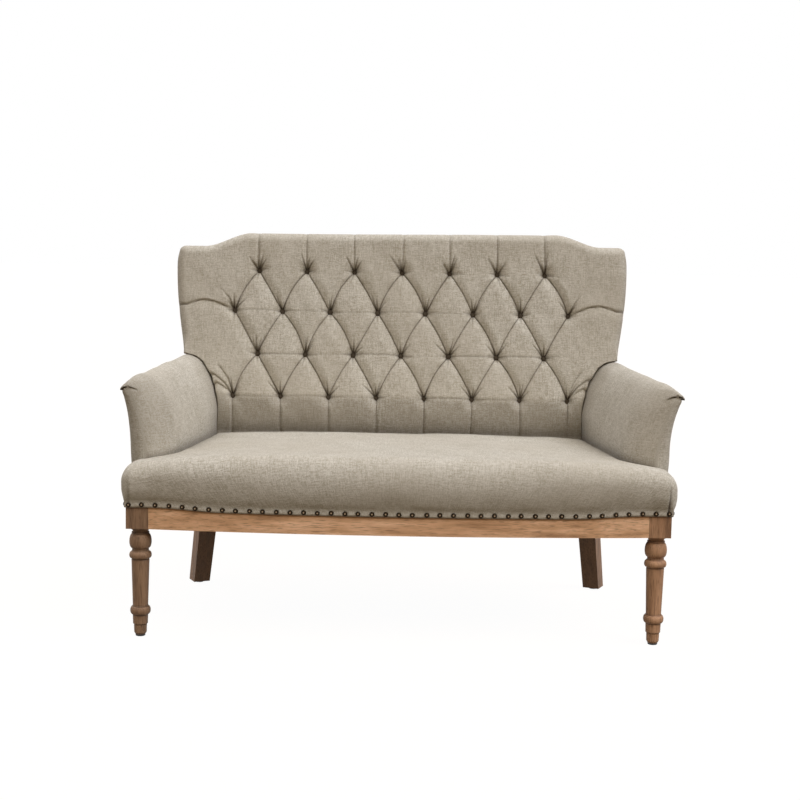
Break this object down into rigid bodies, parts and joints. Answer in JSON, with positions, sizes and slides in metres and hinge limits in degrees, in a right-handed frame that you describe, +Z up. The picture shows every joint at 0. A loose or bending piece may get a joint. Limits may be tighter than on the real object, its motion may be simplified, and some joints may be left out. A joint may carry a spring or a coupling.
{
  "type": "tufted settee",
  "caption": "Upholstered settee with a diamond-tufted back, scooped arms, tight seat, bowed show-wood rail with nailhead trim and turned front legs.",
  "frame": {"origin": "on the floor, in the middle of the footprint of the whole piece", "axes": "+X to the right as seen from the front, +Y to the rear, +Z up"},
  "size_m": [1.349, 0.738, 0.972],
  "materials": {
    "oak_turned": "weathered oak, matt, greyish brown",
    "oak_dark": "weathered oak, matt, darker brown",
    "oak_rail": "weathered oak, matt, warm tan",
    "frame_wood": "plain sawn beech",
    "linen": "oatmeal grey linen with a visible slubbed weave",
    "foam": "upholstery foam",
    "webbing_jute": "woven strap",
    "twine": "waxed button twine",
    "nail_bronze": "antique bronze, domed",
    "bolt_steel": "zinc plated",
    "glide_black": "black nylon",
    "dust_cloth": "black non-woven cloth"
  },
  "bodies": {
    "root": {"front_leg_left": "oak_turned", "front_leg_right": "oak_turned", "rear_leg_left": "oak_dark", "rear_leg_right": "oak_dark", "leg_glides": "glide_black", "front_rail": "oak_rail", "side_rail_left": "oak_rail", "side_rail_right": "oak_rail", "rear_rail": "frame_wood", "corner_blocks": "frame_wood", "seat_braces": "frame_wood", "rail_dowels": "frame_wood", "leg_bolts": "bolt_steel", "seat_webbing_long": "webbing_jute", "seat_webbing_cross": "webbing_jute", "seat_foam": "foam", "seat_cover": "linen", "back_post_left": "frame_wood", "back_post_right": "frame_wood", "crest_rail": "frame_wood", "back_lower_rail": "frame_wood", "back_uprights": "frame_wood", "tufting_panel": "frame_wood", "back_foam": "foam", "inside_back_cover": "linen", "tuft_buttons": "linen", "tuft_ties": "twine", "back_border": "linen", "outside_back_cover": "linen", "arm_post_left": "frame_wood", "arm_post_right": "frame_wood", "arm_rail_left": "frame_wood", "arm_rail_right": "frame_wood", "arm_slat_left": "frame_wood", "arm_slat_right": "frame_wood", "arm_foam_left": "foam", "arm_foam_right": "foam", "arm_cover_left": "linen", "arm_cover_right": "linen", "nail_trim_front": "nail_bronze", "nail_trim_left": "nail_bronze", "nail_trim_right": "nail_bronze", "dust_cover": "dust_cloth"}
  },
  "joints": []
}
